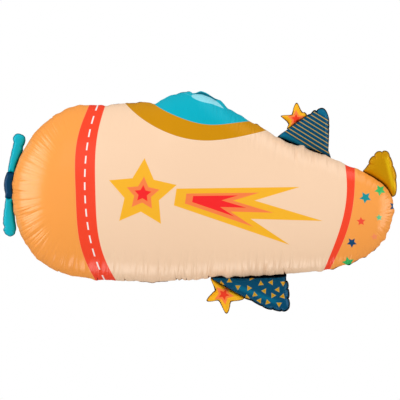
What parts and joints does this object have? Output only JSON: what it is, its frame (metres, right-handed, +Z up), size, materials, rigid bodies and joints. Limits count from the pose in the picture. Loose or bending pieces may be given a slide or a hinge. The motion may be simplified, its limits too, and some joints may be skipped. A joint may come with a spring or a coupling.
{
  "type": "airplane-shaped foil balloon",
  "caption": "Inflated satin foil balloon shaped like a toy airplane, with wings, stars, tail fin and propeller as pinched side chambers on living creases.",
  "frame": {"origin": "middle of the gas in the fuselage, in the plane where the two foil sheets meet", "axes": "-X towards the nose, +Z up, Y across the balloon; the pictured left side is -Y"},
  "size_m": [0.9888, 0.313, 0.5616],
  "materials": {
    "nose_foil": "satin",
    "band_foil": "satin",
    "body_foil": "satin",
    "rim_foil": "satin",
    "canopy_foil": "satin",
    "seam_foil": "satin",
    "neck_film": "satin",
    "blade_foil": "satin",
    "hub_foil": "satin",
    "wing_foil": "satin",
    "star_foil": "satin",
    "fin_foil": "satin"
  },
  "bodies": {
    "fuselage": {"nose_left": "nose_foil", "nose_right": "nose_foil", "front_band_left": "band_foil", "front_band_right": "band_foil", "body_left": "body_foil", "body_right": "body_foil", "canopy_rim_left": "rim_foil", "canopy_rim_right": "rim_foil", "canopy_left": "canopy_foil", "canopy_right": "canopy_foil", "rear_band_left": "band_foil", "rear_band_right": "band_foil", "tail_left": "nose_foil", "tail_right": "nose_foil", "seam_flange": "seam_foil", "inflation_neck": "neck_film"},
    "propeller": {"propeller_hub": "hub_foil", "upper_propeller_blade": "blade_foil", "lower_propeller_blade": "blade_foil"},
    "upper_wing": {"upper_wing": "wing_foil"},
    "upper_wing_star": {"upper_wing_star": "star_foil"},
    "lower_wing": {"lower_wing": "wing_foil"},
    "lower_wing_star": {"lower_wing_star": "star_foil"},
    "tail_fin": {"tail_fin": "fin_foil"}
  },
  "joints": [
    {"name": "propeller_crease", "type": "hinge", "parent": "fuselage", "child": "propeller", "pos_m": [-0.43835, 0, 0.012], "axis": [0, 0, 1], "range_deg": [-20, 20], "stiffness_Nm_per_rad": 0.02},
    {"name": "upper_wing_crease", "type": "hinge", "parent": "fuselage", "child": "upper_wing", "pos_m": [0.29471, 0, 0.11196], "axis": [0.9377, 0, -0.3473], "range_deg": [-25, 25], "stiffness_Nm_per_rad": 0.06},
    {"name": "upper_star_crease", "type": "hinge", "parent": "upper_wing", "child": "upper_wing_star", "pos_m": [0.27405, 0, 0.16933], "axis": [0.8137, 0, 0.5812], "range_deg": [-20, 20], "stiffness_Nm_per_rad": 0.01},
    {"name": "lower_wing_crease", "type": "hinge", "parent": "fuselage", "child": "lower_wing", "pos_m": [0.15511, 0, -0.21766], "axis": [0.9991, 0, 0.0421], "range_deg": [-25, 25], "stiffness_Nm_per_rad": 0.06},
    {"name": "lower_star_crease", "type": "hinge", "parent": "lower_wing", "child": "lower_wing_star", "pos_m": [0.0998, 0, -0.25012], "axis": [0.8689, 0, -0.4951], "range_deg": [-20, 20], "stiffness_Nm_per_rad": 0.01},
    {"name": "tail_fin_crease", "type": "hinge", "parent": "fuselage", "child": "tail_fin", "pos_m": [0.48502, 0, 0.02318], "axis": [0.7557, 0, -0.6549], "range_deg": [-20, 20], "stiffness_Nm_per_rad": 0.02}
  ]
}
